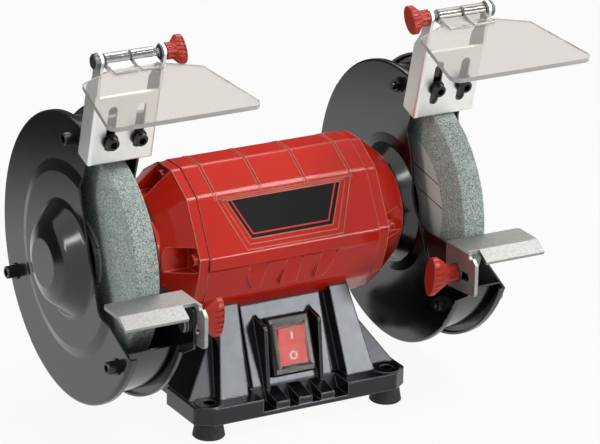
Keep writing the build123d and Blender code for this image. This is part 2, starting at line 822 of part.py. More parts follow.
def base_casting():
    """Sloping pedestal on a lugged flange, hollow underneath, with the motor saddle on top."""
    rise = column_top - flange_top
    front_top = panel_front - panel_lean * rise
    corner_top = corner_front - 0.481 * rise
    foot = (75.9, -corner_front, corner_front, flange_top)
    head = (32.2, -corner_top, corner_top, column_top)
    column = tapered(foot, head)
    foot = (57.0, -panel_front, panel_front, flange_top)
    head = (45.8, -front_top, front_top, column_top)
    block = tapered(foot, head)
    recess_top = recess_front - panel_lean * rise
    narrow = recess_half - 3.2
    column = column + block
    column -= tapered((recess_half, -80, -recess_front, flange_top), (narrow, -80, -recess_top, column_top))
    for s in (1, -1):
        a = s * (recess_half - groove_wide)
        b = s * recess_half
        x0, x1 = min(a, b), max(a, b)
        groove = [
            (-80, flange_top), (-recess_front + groove_deep, flange_top),
            (-recess_top + groove_deep, column_top), (-80, column_top),
        ]
        cut = prism(groove, x0, x1)
        column -= cut & tapered((recess_half, -80, 0, flange_top), (narrow, -80, 0, column_top))
    body = base_flange() + column
    for x, y in bolt_points():
        body += Pos(x, y, flange_top - 1) * Cylinder(9.4, 3.2)
    notch = [
        (-80, notch_floor), (-55.0, notch_floor, 2),
        (-recess_front + 0.5, flange_top + 0.2), (-80, flange_top + 8),
    ]
    ribs = [
        (-flange_half_y + 0.6, notch_floor - 1), (-flange_half_y + 0.6, notch_floor + 4.6, 1),
        (-recess_front - 0.2, flange_top - 0.6), (-recess_front + 2, notch_floor - 1),
    ]
    body -= prism(notch, -notch_half, notch_half)
    for i in (-1, 0, 1):
        body += prism(ribs, i * rib_pitch - rib_wide / 2, i * rib_pitch + rib_wide / 2)
    fin = [(-30.0, 66.0), (-34.0, 65.2), (-48.5, 62.5, 3), (-54.2, flange_top - 1), (-44.0, flange_top - 1)]
    for s in (1, -1):
        body += prism(fin, s * fin_x - fin_thick / 2, s * fin_x + fin_thick / 2)
    body += Pos(0, gland_y - 8.0, gland_z) * Rot(90, 0, 0) * Cylinder(13.0, 16.0)
    body -= on_axis(prism(motor_section(1.0 + seat_gap / housing_low), -80, 80))
    body -= tapered((61.0, -44.0, 44.0, flange_bottom - 0.1), (42.0, -26.0, 26.0, 58.0))
    for shape in plate_shapes(0.2):
        body -= shape
    for x, y in bolt_points():
        body -= Pos(x, y, 20) * Cylinder(bolt_hole_r, 60)
    for x, y in plate_screw_points():
        body -= Pos(x, y, flange_bottom + 5) * Cylinder(1.6, 12)
    body -= Pos(0, 45.0, gland_z) * Rot(90, 0, 0) * Cylinder(gland_r + bore_gap, 40.0)
    body -= switch_plane() * Pos(0, 0, -20) * Box(rocker_wide + 4.6, rocker_long + 4.6, 40)
    return body


def plate_shapes(grow):
    """The two rectangles of the underside plate."""
    top = flange_bottom + plate_thick
    bottom = flange_bottom - (0.1 if grow else 0.0)
    return [
        box(-52 - grow, 52 + grow, -64 - grow, 64 + grow, bottom, top),
        box(-65 - grow, 65 + grow, -46 - grow, 46 + grow, bottom, top),
    ]


def plate_screw_points():
    return [(sx * 44.0, sy * 58.5) for sx in (1, -1) for sy in (1, -1)]


def base_plate():
    long, wide = plate_shapes(0.0)
    plate = long + wide - Pos(0, 0, -seat_gap) * box(-70, 70, -70, 70, flange_bottom + plate_thick, 40)
    for x, y in plate_screw_points():
        plate -= Pos(x, y, flange_bottom) * Cylinder(1.9, 10)
    return plate


def base_plate_screws():
    pieces = []
    for x, y in plate_screw_points():
        head = Pos(x, y, flange_bottom - seat_gap - 0.9) * Cylinder(3.2, 1.8)
        head = chamfer(head.edges().group_by(Axis.Z)[0], 0.6)
        pieces.append(head + Pos(x, y, flange_bottom + 3.5) * Cylinder(1.5, 9.0))
    return Compound(children=pieces)


def rubber_feet():
    pieces = []
    for x, y in bolt_points():
        profile = [(bolt_hole_r, 0), (foot_low_r - 0.8, 0), (foot_low_r, 0.8), (foot_high_r, flange_bottom - seat_gap)]
        profile += [(bolt_hole_r, flange_bottom - seat_gap)]
        foot = revolve(Plane.XZ * outline(profile), Axis.Z, 360)
        pieces.append(Pos(x, y, 0) * foot)
    return Compound(children=pieces)


def cable_gland():
    """Inlet for the supply cord: a flanged bush through the rear wall."""
    body = Pos(0, gland_y - 10.0, gland_z) * Rot(90, 0, 0) * Cylinder(gland_r, 26.0)
    nut = extrude(RegularPolygon(11.0, 6), amount=-6)
    body += Pos(0, gland_y + seat_gap, gland_z) * Rot(90, 0, 0) * nut
    body += Pos(0, gland_y + 9.0, gland_z) * Rot(90, 0, 0) * Cylinder(6.6, 9.0)
    return body - Pos(0, gland_y, gland_z) * Rot(90, 0, 0) * Cylinder(gland_bore_r, 80.0)


def capacitor():
    """Running capacitor lying on the underside plate."""
    z = flange_bottom + plate_thick + 15.0
    can = rod_x(-26, 24, 15.0, 6.0, z)
    return can + rod_x(24, 28, 10.0, 6.0, z)


# Switch

def switch_plane():
    """Frame of the switch on the leaning front: z points out of the bezel."""
    lean = radians(switch_lean)
    return Plane((0, switch_y, switch_z), x_dir=(1, 0, 0), z_dir=(0, -cos(lean), sin(lean)))


def switch_body():
    frame = Pos(0, 0, -bezel_high / 2) * Box(bezel_wide, bezel_long, bezel_high)
    frame = chamfer(frame.edges().group_by(Axis.Z)[-1], 1.4)
    case = Pos(0, 0, -bezel_high - 9.0) * Box(rocker_wide + 4.0, rocker_long + 4.0, 18.0)
    well = Pos(0, 0, -5.0) * Box(rocker_wide + 1.2, rocker_long + 1.2, 11.0)
    return switch_plane() * (frame + case - well)


def switch_hood():
    """Clear dust hood over the rocker."""
    wide = rocker_wide + 5.6
    long = rocker_long + 4.8
    hood = Pos(0, 0, hood_high / 2 + seat_gap) * Box(wide, long, hood_high)
    hood = fillet(hood.edges().group_by(Axis.Z)[-1], 1.6)
    deep = hood_high - hood_wall
    inside = Pos(0, 0, deep / 2) * Box(wide - 2 * hood_wall, long - 2 * hood_wall, deep)
    hood -= inside
    for i in (-1, 0, 1):
        for s in (1, -1):
            rib = Box(1.3, rib_long, rib_high * 2)
            rib = chamfer(rib.edges().group_by(Axis.Z)[-1], 0.3)
            hood += Pos(i * rib_step, s * rib_step * 1.4, hood_high + seat_gap) * rib
    return switch_plane() * hood


def switch_rocker():
    """Rocker in its off position, two shallow faces meeting over the pivot."""
    half = rocker_long / 2
    face = [(-half, 1.6, 0.5), (0, 0.2, 6), (half, 1.6, 0.5), (half - 1.2, -5.5)]
    face += [(2.4, -8.0, 1), (-2.4, -8.0, 1), (-half + 1.2, -5.5)]
    body = prism(face, -rocker_wide / 2, rocker_wide / 2)
    return switch_plane() * Pos(0, 0, -4.0) * Rot(rocker_tilt, 0, 0) * Pos(0, 0, 4.0) * body


os.makedirs("parts", exist_ok=True)

save("base_casting", base_casting())
save("base_plate", base_plate())
save("base_plate_screws", base_plate_screws())
save("rubber_feet", rubber_feet())
save("cable_gland", cable_gland())
save("capacitor", capacitor())
save("switch_body", switch_body())
save("switch_hood", switch_hood())
save("switch_rocker", switch_rocker())

save("motor_housing", motor_housing())
save("name_plate", name_plate())
cap = end_cap()
save("end_cap_right", cap)
save("end_cap_left", flip(cap))
save("tie_bolts", tie_bolts())
save("stator_core", stator_core())
save("stator_windings", stator_windings())
save("bearing_outer", bearing_outer())
save("bearing_inner", bearing_inner())
save("shaft", shaft())
save("rotor_core", rotor_core())

stone = wheel()
save("wheel_right", stone)
save("wheel_left", flip(stone))
save("wheel_labels", wheel_labels())
save("wheel_flanges", wheel_flanges())
save("wheel_nuts", wheel_nuts())

guard = guard_body()
save("guard_body_right", guard)
save("guard_body_left", flip(guard))
cover = guard_cover()
save("guard_cover_right", cover)
save("guard_cover_left", flip(cover))
save("guard_spacers", guard_spacers())
save("cover_screws", cover_screws())
save("cover_nuts", cover_nuts())
save("guard_mount_screws", guard_mount_screws())
save("spark_screws", spark_screws())

save("bracket_right", bracket(0.0))
save("bracket_left", flip(bracket(left_raise)))
save("hinge_bolt_right", hinge_bolt(0.0))
save("hinge_bolt_left", flip(hinge_bolt(left_raise)))
save("shield_right", shield(0.0))
save("shield_left", flip(shield(left_raise)))
save("shield_knob_right", shield_knob(0.0))
save("shield_knob_left", flip(shield_knob(left_raise)))

rest = tool_rest()
save("tool_rest_right", rest)
save("tool_rest_left", flip(rest))
save("rest_bolts", rest_bolts())
turner = rest_knob()
save("rest_knob_right", turner)
save("rest_knob_left", flip(turner))
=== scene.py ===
import math

import bmesh
import bpy
import numpy as np
from bpy.props import FloatProperty, FloatVectorProperty, PointerProperty
from mathutils import Matrix, Vector


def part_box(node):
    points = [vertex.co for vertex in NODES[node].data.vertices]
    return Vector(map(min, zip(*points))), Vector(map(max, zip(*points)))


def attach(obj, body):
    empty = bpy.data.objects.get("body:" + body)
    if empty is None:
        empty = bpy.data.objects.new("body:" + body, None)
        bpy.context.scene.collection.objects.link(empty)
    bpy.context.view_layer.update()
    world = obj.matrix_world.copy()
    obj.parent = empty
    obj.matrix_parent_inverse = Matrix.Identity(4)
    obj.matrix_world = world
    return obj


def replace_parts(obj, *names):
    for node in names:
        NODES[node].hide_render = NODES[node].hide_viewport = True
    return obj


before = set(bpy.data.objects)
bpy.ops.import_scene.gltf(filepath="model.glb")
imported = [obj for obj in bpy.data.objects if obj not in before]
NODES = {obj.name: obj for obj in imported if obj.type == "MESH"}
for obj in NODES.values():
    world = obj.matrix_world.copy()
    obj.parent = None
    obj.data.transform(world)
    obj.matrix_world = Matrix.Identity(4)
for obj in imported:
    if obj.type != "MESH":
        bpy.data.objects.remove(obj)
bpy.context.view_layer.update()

bl_info = {
    "name": "Bench grinder looks",
    "version": (1, 0, 0),
    "blender": (4, 5, 0),
    "location": "3D View > Sidebar > Grinder",
    "description": "Finishes, printed marks, wheel grain and studio for a bench grinder",
    "category": "Object",
}

MM = 0.001

# Sizes shared with the solids, in millimetres and degrees. CAP_SCALE is the caps' size to the motor's.
# ROCKER_FACE is the rocker's height in its middle and the slope of its two faces. The STEP values are how far
# the surround grows at its foot, at its sides and on top, as parts of SURROUND_STEP.
SHAFT_HIGH = 113.3
PLATE_LEAN = 29.0
PLATE_FACE = (-12.4, 14.2, 29.6, 41.6)
SWITCH_LEAN = 21.3
SWITCH_AT = (-48.0, 47.2)
ROCKER_TILT = 7.0
SHIELD_DROOP = 8.0
FACET_R = 46.2
SURROUND_STEP, SURROUND_DEEP, SEAT_GAP = 3.4, 0.65, 0.1
PLATE_OUT = FACET_R - 3 * SURROUND_DEEP + SEAT_GAP
LINE_AT, LINE_WIDE = (-49.4, -16.4, 16.4, 49.4), 1.2
MOTOR_TOP = [(9.0, 52.4, 8.0), (31.0, 39.37, 12.0), (50.8, 3.65, 5.0)]
MOTOR_LOW = [(48.8, -9.0, 8.0), (41.5, -30.0, 14.0), (21.0, -48.8, 14.0)]
CAP_SCALE, CAP_TURN = 0.985, 69.0
ROCKER_FACE = (0.2, 1.4 / 12.3)
ROCKER_PIVOT = 4.0
LINE_BACK, LINE_FRONT = (30.1, 39.9, 0), (-33.0, 35.8, 0)
STEP_FOOT, STEP_SIDE, STEP_RISE = 0.8, 1.15, 0.35
WHEEL_BORE, FLANGE_R, LABEL_R, RIM_SOFT = 6.4, 26.0, 48.0, 0.6

# Marks printed on the rocker, in millimetres up its face from its middle, and the height of marks and line
BAR_ENDS, BAR_WIDE = (4.0, 9.0), 1.3
RING_AT, RING_R, RING_WIDE = -6.5, 2.3, 1.0
MARK_HIGH, LINE_HIGH = 0.08, 0.06

# Rules on the paper labels, in millimetres above the shaft, with their slope and half their width
RULES, RULE_SLOPE, RULE_HALF = (30.7, 16.7, -7.0), -0.16, 0.4

# Points of the surfaces: rings on a wheel's side, stations across its rim and steps in its turn, points round
# a bead and the printed ring, and stations of a rounded corner
RINGS, ACROSS, TURNS = 32, 19, 560
BEAD_POINTS, RING_POINTS, CORNER_POINTS = 10, 48, 7

# Grain of the wheels in millimetres: where it starts outside the label, and how soon it is at full depth
GRAIN_START, GRAIN_FADE = 1.0, 2.0

# Cosine between rounded and own normal where the painted edge highlight starts, and where it is strongest
EDGE_START, EDGE_FULL = 0.98, 0.82

# Pitch at which threads are drawn, in millimetres, and the radians of Blender's wave in a length of 1
THREAD_PITCH, WAVE_TURN = 2.0, 20.0

# Stage in metres, watts and degrees. A lamp is (place, aim, width, height, power). FLOOR_WHITE is the share
# of white that camera, glossy and transmission rays see in the floor, and WORLD_FILL the world's light on the
# machine. The card fades in over CARD_FADE, measured along CARD_ACROSS. CAMERA_TURN is yaw, pitch and roll.
LAMPS = {
    "key box": ((0.62, -0.45, 1.2), (0.0, 0.0, 0.12), 0.4, 0.4, 8.0),
    "back box": ((0.35, 0.7, 1.25), (0.0, 0.0, 0.12), 0.6, 0.4, 5.0),
    "left strip": ((-1.3, -0.2, 1.0), (0.0, 0.0, 0.12), 0.16, 0.9, 5.0),
    "front right box": ((0.85, -1.5, 0.5), (0.0, 0.0, 0.06), 0.42, 0.28, 7.5),
}
FLOOR = [(-6.0, -6.0, 0.0), (6.0, -6.0, 0.0), (6.0, 6.0, 0.0), (-6.0, 6.0, 0.0)]
FLOOR_WHITE, WORLD_FILL = 0.93, 0.24
CARD = [(-1.1, 0.2, 0.002), (1.3, 0.2, 0.002), (1.3, 1.2, 1.0), (-1.1, 1.2, 1.0)]
CARD_ACROSS, CARD_FADE = (-0.2, 1.0, 0.0), (0.265, 0.345)
CAMERA_AT, CAMERA_TURN = (-1.15915, -2.07169, 1.01998), (29.884, 20.851, -1.42)
CAMERA_SENSOR, CAMERA_LENS, CAMERA_CLIP = 36.0, 234.85, (0.1, 50.0)


def tint(code):
    """Linear colour of an sRGB hex value."""
    parts = [int(code[i:i + 2], 16) / 255 for i in (1, 3, 5)]
    return tuple(c / 12.92 if c <= 0.04045 else ((c + 0.055) / 1.055) ** 2.4 for c in parts)


class GrinderColours(bpy.types.PropertyGroup):
    """Main colours of the machine."""
    enamel: FloatVectorProperty(
        name="Motor enamel", description="Gloss red of the motor", subtype="COLOR", default=tint("#CE2412"))
    # Painted highlight: the paler red of the edge beads stands in for light caught along the edges
    edge: FloatVectorProperty(
        name="Enamel edges", description="Paler red painted on edges as highlight", subtype="COLOR",
        default=tint("#E4705A"))
    casting: FloatVectorProperty(
        name="Base casting", description="Black of the cast base", subtype="COLOR", default=tint("#101114"))
    guard: FloatVectorProperty(
        name="Guards", description="Black of the wheel guards", subtype="COLOR", default=tint("#0B0B0C"))
    knob: FloatVectorProperty(
        name="Knobs", description="Red of the clamping knobs", subtype="COLOR", default=tint("#B82C1A"))
    zinc: FloatVectorProperty(
        name="Zinc", description="Plating of the brackets and rests", subtype="COLOR",
        default=tint("#F4F4F0"))
    grit: FloatVectorProperty(
        name="Grit", description="Body of the grinding wheels", subtype="COLOR", default=tint("#A6B1AC"))
    clear: FloatVectorProperty(
        name="Shields", description="Tint of the clear sheet", subtype="COLOR", default=tint("#DFD8D2"))


class GrinderSizes(bpy.types.PropertyGroup):
    """Sizes of the printed and textured detail."""
    line_wide: FloatProperty(
        name="Line width", description="Width of the red line on the plate", subtype="DISTANCE", precision=5,
        default=1.0 * MM, min=0.2 * MM, max=3.0 * MM)
    line_inset: FloatProperty(
        name="Line inset", description="Distance of the red line from the plate's edge", subtype="DISTANCE",
        precision=5, default=2.6 * MM, min=0.5 * MM, max=8.0 * MM)
    bead_wide: FloatProperty(
        name="Edge bead width", description="Width of the enamel gathered on edges", subtype="DISTANCE",
        precision=5, default=0.7 * MM, min=0.2 * MM, max=2.0 * MM)
    bead_high: FloatProperty(
        name="Edge bead height", description="Height of the enamel gathered on edges", subtype="DISTANCE",
        precision=5, default=0.3 * MM, min=0.05 * MM, max=1.0 * MM)
    grain_deep: FloatProperty(
        name="Grain depth", description="Depth of the grain pits in a wheel", subtype="DISTANCE", precision=5,
        default=0.16 * MM, min=0.0, max=0.5 * MM)


def put(tree, kind, **given):
    """Adds a node with its settings and links. A key is a setting of the node, an input's name with _ for a
    space, or i and an input's number."""
    node = tree.nodes.new(kind)
    for key, value in given.items():
        if key[0] == "i" and key[1:].isdigit():
            socket = node.inputs[int(key[1:])]
        elif key.replace("_", " ") in node.inputs:
            socket = node.inputs[key.replace("_", " ")]
        else:
            setattr(node, key, value)
            continue
        if isinstance(value, bpy.types.NodeSocket):
            tree.links.new(value, socket)
        else:
            socket.default_value = (*value, 1.0) if socket.type == "RGBA" and len(value) == 3 else value
    return node


def material(name):
    """Empty node material with its output node and Object coordinates."""
    made = bpy.data.materials.new(name)
    made.use_nodes = True
    made.node_tree.nodes.clear()
    place = put(made.node_tree, "ShaderNodeTexCoord")
    return made, made.node_tree, place.outputs["Object"]


def close(tree, shader):
    """Joins the last shader to the output."""
    put(tree, "ShaderNodeOutputMaterial", Surface=shader.outputs[0])


def grain_of(size_mm):
    """Noise scale for a grain of that size, for coordinates in metres."""
    return 1.0 / (size_mm * MM)


def mottle(tree, place, size_mm, low, high):
    """Colour that wanders between two shades over patches of that size."""
    noise = put(tree, "ShaderNodeTexNoise", Vector=place, Scale=grain_of(size_mm), Detail=3.0)
    return put(tree, "ShaderNodeMix", data_type="RGBA", Factor=noise.outputs["Fac"],
               i6=low, i7=high).outputs["Result"]


def bumps(tree, place, size_mm, deep_mm, strength=1.0, normal=None):
    """Normal of a surface with bumps of that size and depth, laid over another normal where one is given."""
    noise = put(tree, "ShaderNodeTexNoise", Vector=place, Scale=grain_of(size_mm), Detail=2.0)
    bump = put(tree, "ShaderNodeBump", Strength=strength, Distance=deep_mm * MM, Height=noise.outputs["Fac"])
    if normal is not None:
        tree.links.new(normal, bump.inputs["Normal"])
    return bump.outputs["Normal"]


def spread(tree, place, size_mm, low, high):
    """Number that wanders between two values over patches of that size."""
    noise = put(tree, "ShaderNodeTexNoise", Vector=place, Scale=grain_of(size_mm), Detail=3.0)
    return put(tree, "ShaderNodeMapRange", Value=noise.outputs["Fac"],
               i1=0.3, i2=0.7, i3=low, i4=high).outputs[0]


def shade(colour, factor):
    """Colour made darker or lighter by a factor."""
    return tuple(c * factor for c in colour)


def painted_edge_highlight(tree, tone, edge, pale, most):
    """Tone with a painted highlight along edges: the mix towards the pale colour grows as the rounded normal
    leaves the surface's own."""
    own = put(tree, "ShaderNodeNewGeometry").outputs["Normal"]
    turn = put(tree, "ShaderNodeVectorMath", operation="DOT_PRODUCT", i0=edge, i1=own).outputs["Value"]
    part = put(tree, "ShaderNodeMapRange", Value=turn,
               i1=EDGE_START, i2=EDGE_FULL, i3=0.0, i4=most).outputs[0]
    return put(tree, "ShaderNodeMix", data_type="RGBA", Factor=part, i6=tone, i7=pale).outputs["Result"]


def gloss_enamel(colour, name):
    """Sprayed enamel on die-cast aluminium: deep colour under a wet-looking coat with faint orange peel,
    drawn round over the edges so that they catch the light, with a pale painted highlight along those edges."""
    made, tree, place = material(name)
    edge = put(tree, "ShaderNodeBevel", samples=6, Radius=1.2 * MM).outputs["Normal"]
    tone = mottle(tree, place, 30, shade(colour, 0.95), shade(colour, 1.04))
    skin = put(tree, "ShaderNodeBsdfPrincipled",
               Base_Color=painted_edge_highlight(tree, tone, edge, tint("#F0A08C"), 0.85),
               Roughness=spread(tree, place, 18, 0.27, 0.31), IOR=1.2, Coat_Weight=0.35, Coat_Roughness=0.05,
               Normal=bumps(tree, place, 2.6, 0.02, 0.6, normal=edge), Coat_Normal=edge)
    close(tree, skin)
    return made


def cast_enamel(colour, name):
    """Thick black enamel over a sand-grained die casting: finely pebbled, with a soft blue-grey sheen on lit
    slopes, and rounded edges with a pale painted highlight."""
    made, tree, place = material(name)
    edge = put(tree, "ShaderNodeBevel", samples=6, Radius=1.4 * MM).outputs["Normal"]
    tone = mottle(tree, place, 9, shade(colour, 0.8), shade(colour, 1.2))
    skin = put(tree, "ShaderNodeBsdfPrincipled",
               Base_Color=painted_edge_highlight(tree, tone, edge, tint("#8C8E92"), 0.7),
               Roughness=spread(tree, place, 8, 0.24, 0.265), IOR=1.5, Specular_Tint=tint("#F3F8FF"),
               Normal=bumps(tree, place, 0.9, 0.02, 0.45, normal=edge))
    close(tree, skin)
    return made


def stove_enamel(colour, name):
    """Stoved gloss enamel on pressed steel: deep black mirror with a slow ripple and faint peel in its
    reflections."""
    made, tree, place = material(name)
    edge = put(tree, "ShaderNodeBevel", samples=6, Radius=0.6 * MM).outputs["Normal"]
    ripple = bumps(tree, place, 16, 0.05, 0.3, normal=edge)
    skin = put(tree, "ShaderNodeBsdfPrincipled",
               Base_Color=mottle(tree, place, 22, shade(colour, 0.8), shade(colour, 1.3)),
               Roughness=spread(tree, place, 9, 0.14, 0.2), IOR=1.6,
               Normal=bumps(tree, place, 1.2, 0.006, 0.5, normal=ripple))
    close(tree, skin)
    return made


def zinc_plate(colour, name, patch=5, cloud=0.88, rough=(0.38, 0.5)):
    """Rolled sheet with zinc plating: cool metal with fine rolling streaks and a clouded, spangled sheen."""
    made, tree, place = material(name)
    along = put(tree, "ShaderNodeMapping", Vector=place, Scale=(0.15, 1.0, 1.0)).outputs[0]
    edge = put(tree, "ShaderNodeBevel", samples=6, Radius=0.5 * MM).outputs["Normal"]
    tone = mottle(tree, place, patch, shade(colour, cloud), colour)
    skin = put(tree, "ShaderNodeBsdfPrincipled", Base_Color=tone, Metallic=1.0,
               Roughness=spread(tree, place, 1.6, *rough),
               Normal=bumps(tree, along, 0.9, 0.004, 0.4, normal=edge))
    close(tree, skin)
    return made


def turned_steel(colour, name, rough=(0.25, 0.4)):
    """Turned and plated steel: metal with fine tool marks round the axis."""
    made, tree, place = material(name)
    marks = put(tree, "ShaderNodeMapping", Vector=place, Scale=(1.0, 0.1, 0.1)).outputs[0]
    skin = put(tree, "ShaderNodeBsdfPrincipled",
               Base_Color=mottle(tree, place, 4, shade(colour, 0.8), colour), Metallic=1.0,
               Roughness=spread(tree, place, 2.0, *rough), Normal=bumps(tree, marks, 0.6, 0.015, 0.5))
    close(tree, skin)
    return made


def rolled_thread(colour, name):
    """Plain steel bolt with a rolled thread along X, which gives fine dark lines across it.
    A pitch of 1 mm is drawn at 2 mm so that it shows."""
    made, tree, place = material(name)
    wave = put(tree, "ShaderNodeTexWave", Vector=place, wave_type="BANDS", bands_direction="X",
               Scale=grain_of(THREAD_PITCH) * 2 * math.pi / WAVE_TURN)
    ridges = put(tree, "ShaderNodeBump", Strength=0.7, Distance=0.3 * MM, Height=wave.outputs["Fac"])
    skin = put(tree, "ShaderNodeBsdfPrincipled",
               Base_Color=mottle(tree, place, 3, shade(colour, 0.75), colour), Metallic=1.0,
               Roughness=spread(tree, place, 2.0, 0.3, 0.45), Normal=ridges.outputs["Normal"])
    close(tree, skin)
    return made


def moulded_plastic(colour, name, rough, coat=0.0, shine=0.5):
    """Injection-moulded plastic: even colour with a faint spark-eroded texture.
    Shine is its specular level."""
    made, tree, place = material(name)
    skin = put(tree, "ShaderNodeBsdfPrincipled",
               Base_Color=mottle(tree, place, 6, shade(colour, 0.92), shade(colour, 1.06)),
               Roughness=spread(tree, place, 2.0, *rough), Specular_IOR_Level=shine,
               Coat_Weight=coat, Coat_Roughness=0.1,
               Normal=bumps(tree, place, 0.6, 0.01, 0.5))
    close(tree, skin)
    return made


def clear_plastic(colour, name, normal, rough=(0.02, 0.06), ior=1.45, coat=0.4):
    """Clear sheet whose face has that normal: see-through with faint haze, and pale where its cut edges
    scatter light."""
    made, tree, place = material(name)
    outward = put(tree, "ShaderNodeTexCoord").outputs["Normal"]
    facing = put(tree, "ShaderNodeVectorMath", operation="DOT_PRODUCT", i0=outward, i1=normal)
    level = put(tree, "ShaderNodeMath", operation="ABSOLUTE", i0=facing.outputs["Value"]).outputs[0]
    clear = put(tree, "ShaderNodeMapRange", Value=level, i1=0.25, i2=0.6, i3=0.35, i4=1.0).outputs[0]
    tone = put(tree, "ShaderNodeMix", data_type="RGBA", Factor=clear,
               i6=mottle(tree, place, 3, tint("#DEDBD8"), tint("#F2F0EE")),
               i7=mottle(tree, place, 40, shade(colour, 0.97), colour)).outputs["Result"]
    skin = put(tree, "ShaderNodeBsdfPrincipled", Base_Color=tone, Roughness=spread(tree, place, 25, *rough),
               IOR=ior, Transmission_Weight=clear, Coat_Weight=coat, Coat_Roughness=0.04)
    close(tree, skin)
    return made


def soft_rubber(name):
    """Moulded rubber: dull near-black with a dusty bloom."""
    made, tree, place = material(name)
    skin = put(tree, "ShaderNodeBsdfPrincipled",
               Base_Color=mottle(tree, place, 4, tint("#141414"), tint("#222221")),
               Roughness=spread(tree, place, 3, 0.6, 0.8), Normal=bumps(tree, place, 0.7, 0.03))
    close(tree, skin)
    return made


def vitrified_grit(colour, name):
    """Bonded abrasive grain: pale and dark specks with open pores, and painted light that makes the side
    faces paler than the rim.
    Grain of 0.4 mm is drawn at 0.5 mm so that it shows."""
    made, tree, place = material(name)
    cells = put(tree, "ShaderNodeTexVoronoi", Vector=place, Scale=grain_of(0.5))
    pick = put(tree, "ShaderNodeSeparateColor", Color=cells.outputs["Color"]).outputs[0]
    outward = put(tree, "ShaderNodeTexCoord").outputs["Normal"]
    facing = put(tree, "ShaderNodeSeparateXYZ", Vector=outward).outputs["X"]
    side = put(tree, "ShaderNodeMath", operation="ABSOLUTE", i0=facing).outputs[0]
    # Painted light: faces turned along the axis are mixed towards a paler, slightly greener tone, as if lit
    # more
    pale = shade((colour[0] * 0.95, colour[1] * 0.98, colour[2] * 0.96), 1.35)
    base = put(tree, "ShaderNodeMix", data_type="RGBA", Factor=side, i6=colour, i7=pale).outputs["Result"]
    speck = put(tree, "ShaderNodeMapRange", Value=pick, i3=0.3, i4=1.65).outputs[0]
    cloud = spread(tree, place, 9, 0.9, 1.08)
    level = put(tree, "ShaderNodeMath", operation="MULTIPLY", i0=speck, i1=cloud).outputs[0]
    tone = put(tree, "ShaderNodeVectorMath", operation="SCALE", i0=base, Scale=level).outputs[0]
    pits = put(tree, "ShaderNodeBump", Strength=0.7, Distance=0.2 * MM, Height=cells.outputs["Distance"])
    skin = put(tree, "ShaderNodeBsdfPrincipled",
               Base_Color=tone, Roughness=spread(tree, place, 3, 0.75, 0.95),
               Specular_IOR_Level=0.35, Normal=pits.outputs["Normal"])
    close(tree, skin)
    return made


def printed_paper(name):
    """Blotter paper with three straight printed rules: dull white fibre, thin black lines."""
    made, tree, place = material(name)
    split = put(tree, "ShaderNodeSeparateXYZ", Vector=place)
    slope = put(tree, "ShaderNodeMath", operation="MULTIPLY_ADD", i0=split.outputs["Y"], i1=RULE_SLOPE,
                i2=split.outputs["Z"]).outputs[0]
    tone = mottle(tree, place, 1.5, tint("#E4E0DB"), tint("#F0EDE9"))
    for high in RULES:
        rule = put(tree, "ShaderNodeMath", operation="COMPARE", i0=slope, i1=(SHAFT_HIGH + high) * MM,
                   i2=RULE_HALF * MM)
        tone = put(tree, "ShaderNodeMix", data_type="RGBA", Factor=rule.outputs[0], i6=tone,
                   i7=tint("#1A1918")).outputs["Result"]
    skin = put(tree, "ShaderNodeBsdfPrincipled", Base_Color=tone, Roughness=spread(tree, place, 2, 0.7, 0.85),
               Normal=bumps(tree, place, 0.9, 0.02))
    close(tree, skin)
    return made


def dress(made, *names):
    """Gives the CAD nodes of those names one material."""
    for name in names:
        mesh = NODES[name].data
        mesh.materials.clear()
        mesh.materials.append(made)


def piece(name, points, faces, made, body, slot, smooth=False):
    """New object at the origin from points in millimetres and blocks of faces, riding on a body, with its
    faces turned outwards."""
    mesh = bpy.data.meshes.new(name)
    mesh.from_pydata((np.asarray(points) * MM).tolist(), [], sum((block.tolist() for block in faces), []))
    work = bmesh.new()
    work.from_mesh(mesh)
    bmesh.ops.recalc_face_normals(work, faces=work.faces)
    work.to_mesh(mesh)
    work.free()
    mesh.polygons.foreach_set("use_smooth", np.full(len(mesh.polygons), smooth))
    mesh.materials.append(made)
    thing = bpy.data.objects.new(name, mesh)
    bpy.context.scene.collection.objects.link(thing)
    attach(thing, body)
    return thing


def grid_faces(rows, columns, loop):
    """Quads of a grid of points numbered row by row: each row is a ring, and in a loop the last row joins the
    first."""
    r, c = np.meshgrid(np.arange(rows if loop else rows - 1), np.arange(columns), indexing="ij")
    r2, c2 = (r + 1) % rows, (c + 1) % columns
    quads = np.stack([r * columns + c, r * columns + c2, r2 * columns + c2, r2 * columns + c], axis=-1)
    return quads.reshape(-1, 4)


def bar_section(wide, high):
    """Corners (side, up) of a flat bar standing on its path."""
    return np.array([(-0.5, 0.0), (0.5, 0.0), (0.5, 1.0), (-0.5, 1.0)]) * (wide, high)


def bead_section(wide, high):
    """Points (side, up) of an oval bead that is half sunk in what carries it.
    Point = (cos a * width / 2, sin a * height)."""
    a = np.linspace(0, 2 * math.pi, BEAD_POINTS, endpoint=False)
    return np.stack([np.cos(a) * wide / 2, np.sin(a) * high], axis=1)


def sweep(path, across, out, section, loop=False):
    """Section carried along a path, capped at its ends or joined to itself.
    Point = path + across * side + out * up, for each (side, up) of the section at each station."""
    grid = (path[:, None, :] + np.broadcast_to(across, path.shape)[:, None, :] * section[None, :, :1]
            + np.broadcast_to(out, path.shape)[:, None, :] * section[None, :, 1:])
    count, round_ = len(path), len(section)
    faces = [grid_faces(count, round_, loop)]
    if not loop:
        ends = np.arange(round_)
        faces.append(np.stack([ends[::-1], ends + (count - 1) * round_]))
    return grid.reshape(-1, 3), faces


